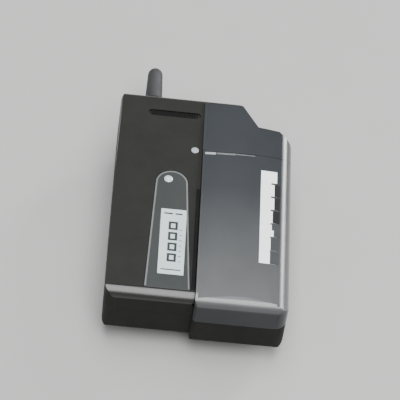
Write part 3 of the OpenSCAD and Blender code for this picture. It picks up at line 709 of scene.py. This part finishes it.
# Black ribs and the pad under them, in the recess near the top end
RECESS_U, RECESS_V, RECESS_DEPTH = (13.2, 30.8), (95.7, 98.3), 0.7
RIB_PITCH, RIB_WIDE, RIB_TALL = 0.8, 0.48, 0.42
RIB_COUNT = int((RECESS_U[1] - RECESS_U[0]) / RIB_PITCH)


def recess_floor(u, v):
    return face_w(u, v) - RECESS_DEPTH


def recess_rib(number):
    u = RECESS_U[0] + RIB_PITCH * number
    return (u, RECESS_V[0]), (u + RIB_WIDE, RECESS_V[1])


flat_bars("recess_ribs", [recess_rib(number) for number in range(RIB_COUNT)], "black_rubber_and_painted_shadow", "case",
          thick=RIB_TALL, height=recess_floor, bevel=0.12)
PAD_LOW = (RECESS_U[0] - 0.9, RECESS_V[0] - 0.05)
PAD_HIGH = (RECESS_U[1] + 0.6, RECESS_V[1] + 0.05)
flat_bars("recess_pad", [(PAD_LOW, PAD_HIGH)], "black_rubber_and_painted_shadow", "case", thick=0.12,
          height=lambda u, v: recess_floor(u, v) - 0.01)


# ---------------------------------------------------------------- round pieces

def size_mm(node):
    low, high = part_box(node)
    return (high - low) / MM


def start_of(node, axis):
    """The middle of the end of a node's box that axis, a unit vector along x, y or z, points away from."""
    low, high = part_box(node)
    return (low + high) / 2 - Vector([way * length / 2 for way, length in zip(axis, high - low)])


ALONG, OUT = (0, 1, 0), (0, 0, 1)
GROOVES, GROOVE_V, GROOVE_PITCH, GROOVE_DEPTH = 3, 1.5, 1.1, 0.32
ROOT_LENGTH, TIP_THINNER = 5.2, 0.65


def antenna_sleeve():
    """The rubber sleeve of the antenna: a grooved root, a taper and a round tip."""
    size = size_mm("antenna_sleeve")
    length, radius = size.y, size.x / 2
    tip = radius - TIP_THINNER
    profile = [(0, 0), (radius - 0.3, 0), (radius, 0.25), (radius, 1.2)]
    for i in range(GROOVES):
        v = GROOVE_V + GROOVE_PITCH * i
        profile += [(radius - 0.05, v), (radius - GROOVE_DEPTH, v + 0.15),
                    (radius - GROOVE_DEPTH, v + 0.5), (radius - 0.05, v + 0.65)]
    profile += [(radius - 0.12, ROOT_LENGTH), (tip + 0.05, length - tip)]
    turns = [math.radians(degrees) for degrees in range(8, 90, 8)]
    profile += [(tip * math.cos(turn), length - tip + tip * math.sin(turn)) for turn in turns]
    profile.append((0, length))
    stub = lathe("antenna_stub", profile, start_of("antenna_sleeve", ALONG), ALONG, "antenna_rubber", "case")
    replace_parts(stub, "antenna_sleeve")


THREAD_LENGTH, THREAD_PITCH, THREAD_DEPTH = 4.0, 0.75, 0.3
NECK_R, THREAD_R, BORE_R = 4.2, 4.5, 3.6


def connector_thread():
    """The socket's barrel with the rings of a thread on its free length."""
    length = size_mm("connector_barrel").y
    profile = [(BORE_R, 0), (NECK_R, 0), (NECK_R, length - THREAD_LENGTH)]
    root = THREAD_R - THREAD_DEPTH
    for i in range(int(THREAD_LENGTH / THREAD_PITCH)):
        v = length - THREAD_LENGTH + THREAD_PITCH * i
        profile += [(root, v + 0.08), (THREAD_R, v + 0.33), (THREAD_R, v + 0.45), (root, v + 0.7)]
    profile += [(THREAD_R - 0.35, length - 0.05), (THREAD_R - 0.5, length), (BORE_R + 0.2, length),
                (BORE_R, length - 0.2), (BORE_R, 0)]
    barrel = lathe("socket_barrel", profile, start_of("connector_barrel", ALONG), ALONG, "nickel", "case")
    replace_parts(barrel, "connector_barrel")


def status_lens():
    """The light pipe with a softly crowned end, beside the cover's seam."""
    size = size_mm("light_pipe")
    stem, top = size.x / 2, size.z
    profile = [(0, 0), (stem, 0), (stem, top - 0.5), (stem, top - 0.12), (stem * 0.8, top - 0.03),
               (0, top + 0.05)]
    lens = lathe("status_lens", profile, start_of("light_pipe", OUT), OUT, "frosted_lens", "case", steps=48)
    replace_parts(lens, "light_pipe")


NUB_LENGTH = 1.3


def cell(node, slot, way):
    """A cell with a rolled crimp at each end and its nub at the end that way, 1 or -1, points to."""
    size = size_mm(node)
    radius, length = size.x / 2, size.y
    can = length - NUB_LENGTH
    profile = [(0, 0.12), (radius - 1.6, 0.12), (radius - 1.3, 0), (radius - 0.5, 0), (radius - 0.1, 0.2),
               (radius, 0.6), (radius, can - 0.7), (radius - 0.15, can - 0.25), (radius - 0.6, can),
               (radius - 1.2, can), (radius - 1.5, can - 0.25), (3.2, can - 0.25), (2.85, can),
               (2.7, length - 0.25), (2.45, length), (0, length)]
    axis = (0, way, 0)
    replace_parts(lathe(node + "_can", profile, start_of(node, axis), axis, slot, "case"), node)


WIRE_CHAMFER, WIRE_SIDES = 0.25, 20


def sweep(name, points, radius, slot, body):
    """A round wire of the given radius along [u, v, w] points, with chamfered ends."""
    spots = [Vector(p) for p in points]
    ways = [(b - a).normalized() for a, b in zip(spots, spots[1:])]
    ways = [ways[0]] + [(a + b).normalized() for a, b in zip(ways, ways[1:])] + [ways[-1]]
    side = ways[0].orthogonal().normalized()
    stations = [(spots[0], ways[0], radius - WIRE_CHAMFER)]
    stations += [(spots[0] + ways[0] * WIRE_CHAMFER, ways[0], radius)]
    stations += [(spot, way, radius) for spot, way in zip(spots[1:-1], ways[1:-1])]
    stations += [(spots[-1] - ways[-1] * WIRE_CHAMFER, ways[-1], radius)]
    stations += [(spots[-1], ways[-1], radius - WIRE_CHAMFER)]
    bm = bmesh.new()
    rings = []
    for spot, way, size in stations:
        side = (side - way * side.dot(way)).normalized()
        across = way.cross(side)
        rings.append([bm.verts.new(at(*(spot + size * (side * math.cos(t) + across * math.sin(t)))))
                      for t in (2 * math.pi * k / WIRE_SIDES for k in range(WIRE_SIDES))])
    for a, b in zip(rings, rings[1:]):
        for k in range(WIRE_SIDES):
            after = (k + 1) % WIRE_SIDES
            bm.faces.new((a[k], a[after], b[after], b[k]))
    bm.faces.new(rings[0][::-1])
    bm.faces.new(rings[-1])
    return add_piece(name, finish_mesh(bm, name), slot, body)


# The clip wire: its pivot, the plane of its legs and the bends between, all in millimetres
PIVOT_V, PIVOT_W, LEG_W = 88, -3, -6
CLIP_MID_U, CLIP_HALF, WIRE_END, WIRE_RADIUS = 35, 18, 12.7, 1
ELBOW_RADIUS, BEND_START_V, BEND_TURN, BEND_STRAIGHT, U_START_V = 2.4, 84.6, math.radians(28), 1, 34
BEND_RADIUS = (PIVOT_W - LEG_W - BEND_STRAIGHT * math.sin(BEND_TURN)) / (2 - 2 * math.cos(BEND_TURN))
ARC_STEPS, U_STEPS = 8, 40


def clip_side():
    """Points of one half of the wire as [distance from the middle, v, w], from its end in the ear."""
    points = [(WIRE_END, PIVOT_V, PIVOT_W)]
    for k in range(ARC_STEPS + 1):
        turn = math.pi / 2 * k / ARC_STEPS
        points.append((CLIP_HALF - ELBOW_RADIUS + ELBOW_RADIUS * math.sin(turn),
                       PIVOT_V - ELBOW_RADIUS + ELBOW_RADIUS * math.cos(turn), PIVOT_W))
    for k in range(ARC_STEPS + 1):
        turn = BEND_TURN * k / ARC_STEPS
        points.append((CLIP_HALF, BEND_START_V - BEND_RADIUS * math.sin(turn),
                       PIVOT_W - BEND_RADIUS * (1 - math.cos(turn))))
    end_v = BEND_START_V - 2 * BEND_RADIUS * math.sin(BEND_TURN) - BEND_STRAIGHT * math.cos(BEND_TURN)
    for k in range(ARC_STEPS + 1):
        turn = BEND_TURN * (1 - k / ARC_STEPS)
        points.append((CLIP_HALF, end_v + BEND_RADIUS * math.sin(turn),
                       LEG_W + BEND_RADIUS * (1 - math.cos(turn))))
    return points


def clip_wire():
    half = clip_side()
    turns = [math.pi * k / U_STEPS for k in range(U_STEPS + 1)]
    bend = [(CLIP_HALF * math.cos(turn), U_START_V - CLIP_HALF * math.sin(turn), LEG_W) for turn in turns]
    path = half + bend + [(-u, v, w) for u, v, w in half[::-1]]
    wire = sweep("belt_wire", [(CLIP_MID_U + u, v, w) for u, v, w in path], WIRE_RADIUS, "clip_wire", "clip")
    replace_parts(wire, "belt_clip")


# The middle of the sloping shoulder, the way it faces, and how far the key stands out of it
SHOULDER_MID, SHOULDER_NORMAL = (52, 100.25, 8.5), Vector((0.8603, 0.5098, 0))
KEY_PROUD = 1.0
# The symbol: the ring's radii, where it starts and how far it goes in degrees, and its bar
RING_IN, RING_OUT, RING_START, RING_SWEEP, RING_STEPS = 0.95, 1.25, 125, 290, 24
SYMBOL_BAR = ((-0.15, 0.25), (0.15, 0.25), (0.15, 1.45), (-0.15, 1.45))
FILM = (-0.02, 0.03)


def key_symbol():
    """The usual ring and bar of a power key, as a thin film on the key's face."""
    along = Vector((SHOULDER_NORMAL.y, -SHOULDER_NORMAL.x, 0))
    bm = bmesh.new()

    def spot(a, b, up):
        return bm.verts.new(at(*(Vector(SHOULDER_MID) + SHOULDER_NORMAL * (KEY_PROUD + up) + along * a
                                 + Vector((0, 0, b)))))

    def slab(corners):
        low, high = ([spot(a, b, up) for a, b in corners] for up in FILM)
        bm.faces.new(low)
        bm.faces.new(high[::-1])
        for k in range(4):
            bm.faces.new((low[k], low[(k + 1) % 4], high[(k + 1) % 4], high[k]))

    for k in range(RING_STEPS):
        t0, t1 = (math.radians(RING_START + RING_SWEEP * j / RING_STEPS) for j in (k, k + 1))
        slab([(r * math.cos(t), r * math.sin(t))
              for r, t in ((RING_IN, t0), (RING_OUT, t0), (RING_OUT, t1), (RING_IN, t1))])
    slab(SYMBOL_BAR)
    return add_piece("key_symbol", finish_mesh(bm, "key_symbol", angle=20), "mark_white", "power_key")


# The display's top, the lower left corners of its digits, their size, and the width of and gap between bars
DISPLAY_TOP, DIGITS_AT = 18.2, ((57.4, 66.2), (60.9, 66.2))
DIGIT_WIDE, DIGIT_TALL, DIGIT_LINE, DIGIT_GAP = 2.3, 4.8, 0.42, 0.12


def digit_bars(u, v):
    """The seven bars of one digit whose lower left corner is at u, v."""
    half, clear = DIGIT_TALL / 2, DIGIT_LINE / 2 + DIGIT_GAP
    flat = [((u + DIGIT_LINE, v + y), (u + DIGIT_WIDE - DIGIT_LINE, v + y + DIGIT_LINE))
            for y in (0, half - DIGIT_LINE / 2, DIGIT_TALL - DIGIT_LINE)]
    upright = [((u + x, v + y + clear), (u + x + DIGIT_LINE, v + y + half - clear))
               for x in (0, DIGIT_WIDE - DIGIT_LINE) for y in (0, half)]
    return flat + upright


flat_bars("display_bars", [bar for corner in DIGITS_AT for bar in digit_bars(*corner)], "led_red", "case",
          thick=0.03, height=lambda u, v: DISPLAY_TOP, bevel=0.01)

# Deck marks: dots round the trim, a line and a dot by the pair button, and a plus and a minus below the trim
DECK_TOP, LINE_HALF = 18.4, 0.2
TRIM_AT, DOT_RING, DOT_HALF = (51, 69), 3.9, 0.25
PAIR_LINE_AT, PLUS_AT, MINUS_AT, SIGN_HALF = (42, 72.8), (44.2, 60.2), (59.2, 60.2), 0.9


def trim_dot(degrees):
    turn = math.radians(degrees)
    return bar_about(TRIM_AT[0] + DOT_RING * math.sin(turn), TRIM_AT[1] + DOT_RING * math.cos(turn),
                     DOT_HALF, DOT_HALF)


def plus_sign(u, v):
    """A level bar and the two halves of an upright one."""
    arm = (SIGN_HALF - LINE_HALF) / 2
    return [bar_about(u, v, SIGN_HALF, LINE_HALF), bar_about(u, v - LINE_HALF - arm, LINE_HALF, arm),
            bar_about(u, v + LINE_HALF + arm, LINE_HALF, arm)]


flat_bars("deck_marks",
          [trim_dot(degrees) for degrees in range(-135, 136, 45)]
          + [bar_about(*PAIR_LINE_AT, 2.6, LINE_HALF),
             bar_about(PAIR_LINE_AT[0], PAIR_LINE_AT[1] + 1.2, DOT_HALF, 0.6)]
          + plus_sign(*PLUS_AT)
          + [bar_about(*MINUS_AT, SIGN_HALF, LINE_HALF)],
          "mark_white", "case", thick=0.03, height=lambda u, v: DECK_TOP, bevel=0.01)

# Generic print on the rear label: a heading, text lines as (v, right end), upright bars of three widths and
# a rule
REAR_LABEL_W, PRINT_U, TEXT_TALL = 0.05, (22.5, 47.5), 0.5
HEADING = ((PRINT_U[0], 51.5), (40, 52.8))
RULE = ((PRINT_U[0], 38.4), (PRINT_U[1], 38.7))
TEXT_LINES = ((49, 47.5), (46.6, 44), (44.2, 46), (41.8, 36), (28, 31), (30.2, 33))
CODE_U, CODE_V, CODE_COUNT, CODE_PITCH, CODE_LEAST, CODE_MORE = 36, (28, 35), 12, 0.9, 0.3, 0.15


def code_bar(number):
    u = CODE_U + CODE_PITCH * number
    return (u, CODE_V[0]), (u + CODE_LEAST + CODE_MORE * (number % 3), CODE_V[1])


flat_bars("rear_label_bars",
          [HEADING] + [((PRINT_U[0], v), (right_end, v + TEXT_TALL)) for v, right_end in TEXT_LINES]
          + [code_bar(number) for number in range(CODE_COUNT)] + [RULE],
          "ink_dark", "case", thick=-0.03, height=lambda u, v: REAR_LABEL_W, bevel=0.01)

BRACKET_SCREWS, SCREW_TOP_W, SLOT_HALF = ((26, 82), (44, 82)), -2.1, (1.15, 0.22)
flat_bars("bracket_screw_slots",
          [bar_about(u, v, *half) for u, v in BRACKET_SCREWS for half in (SLOT_HALF, SLOT_HALF[::-1])],
          "ink_dark", "case", thick=-0.02, height=lambda u, v: SCREW_TOP_W, bevel=0.005)

cell("cell_left", "cell_can", 1)
cell("cell_right", "cell_can_turned", -1)
clip_wire()
key_symbol()
antenna_sleeve()
connector_thread()
status_lens()
soften("connector_nut", "hex_nut", 0.25)
soften("antenna_ferrule", "antenna_collar", 0.2, least_angle=50)
soften("cover_mark", "cover_mark_bars", 0.06, segments=2)
soften("pair_button", "pair_key", 0.3)
soften("trim_rotor", "trim_disc", 0.12)
soften("trim_body", "trim_housing", 0.12)
soften("id_display", "display_block", 0.15)
soften("bracket_screws", "bracket_screw_heads", 0.25, least_angle=50)
soften("case_screws", "case_screw_heads", 0.15, least_angle=50)
soften("rf_shield", "shield_can", 0.2)
soften("ic_chips", "chips", 0.08, segments=2)
soften("connector_insulator", "socket_insulator", 0.12)


# ---------------------------------------------------------------- stage and light

FLOOR_COLOUR, FLOOR_SHADE, FLOOR_CLOUD_MM, FLOOR_SIZE = (0.39, 0.389, 0.378), 0.97, 40, 2.5
SKY_COLOUR, SKY_STRENGTH = (0.9, 0.93, 1.0), 0.35
# Lights as name, place, size, watts and colour; each looks at the middle of the part's base
LIGHTS = (
    ("overhead", (0.05, -0.38, 1.25), (0.8, 1.7), 39, (1, 1, 1)),
    ("window", (-0.05, 0.83, 1.5), (0.8, 0.66), 6, (0.93, 0.96, 1.0)),
    ("edge", (0.9, 1.07, 0.62), (0.3, 0.6), 16, (1, 1, 1)),
)


def add_floor():
    bm = bmesh.new()
    bmesh.ops.create_grid(bm, x_segments=8, y_segments=8, size=FLOOR_SIZE)
    mesh = bpy.data.meshes.new("floor")
    bm.to_mesh(mesh)
    bm.free()
    floor = bpy.data.objects.new("floor", mesh)
    bpy.context.scene.collection.objects.link(floor)
    surface = Paint("floor", 0.75)
    cloud = surface.ranged(surface.noise(FLOOR_CLOUD_MM), 0, 1)
    surface.colour(surface.blend(cloud, FLOOR_COLOUR, tuple(c * FLOOR_SHADE for c in FLOOR_COLOUR)))
    floor.data.materials.append(surface.material)


def add_area(name, place, size, watts, colour):
    data = bpy.data.lights.new(name, "AREA")
    data.shape = "RECTANGLE"
    data.size, data.size_y = size
    data.energy = watts
    data.color = colour
    light = bpy.data.objects.new(name, data)
    light.location = place
    light.rotation_euler = Vector(place).to_track_quat("Z", "Y").to_euler()
    bpy.context.scene.collection.objects.link(light)


def add_world():
    world = bpy.data.worlds.new("world")
    bpy.context.scene.world = world
    world.use_nodes = True
    background = world.node_tree.nodes["Background"]
    background.inputs["Color"].default_value = (*SKY_COLOUR, 1)
    background.inputs["Strength"].default_value = SKY_STRENGTH


add_floor()
add_world()
for light in LIGHTS:
    add_area(*light)
